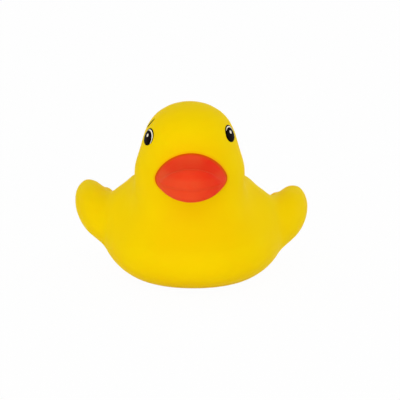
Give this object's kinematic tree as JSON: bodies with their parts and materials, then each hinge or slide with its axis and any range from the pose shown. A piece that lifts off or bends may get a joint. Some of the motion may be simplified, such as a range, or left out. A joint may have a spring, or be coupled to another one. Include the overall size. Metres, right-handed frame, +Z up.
{
  "type": "rubber duck",
  "caption": "Soft hollow bath duck with an upturned bill, raised wing tips and a flat base that holds a squeaker.",
  "frame": {"origin": "on the surface that the duck stands on, under the middle of its bounding box", "axes": "+Z up, the bill towards -Y, the duck's own left wing towards +X"},
  "size_m": [0.0888, 0.0874, 0.0668],
  "materials": {
    "vinyl": "soft vinyl, smooth satin, yellow through and through, with an orange-red sprayed bill and printed black and white eyes",
    "squeaker_plastic": "moulded white plastic",
    "reed_film": "thin springy plastic strip"
  },
  "bodies": {
    "root": {"duck_skin": "vinyl", "squeaker_case": "squeaker_plastic", "squeaker_reed": "reed_film", "squeaker_cap": "squeaker_plastic"}
  },
  "joints": []
}
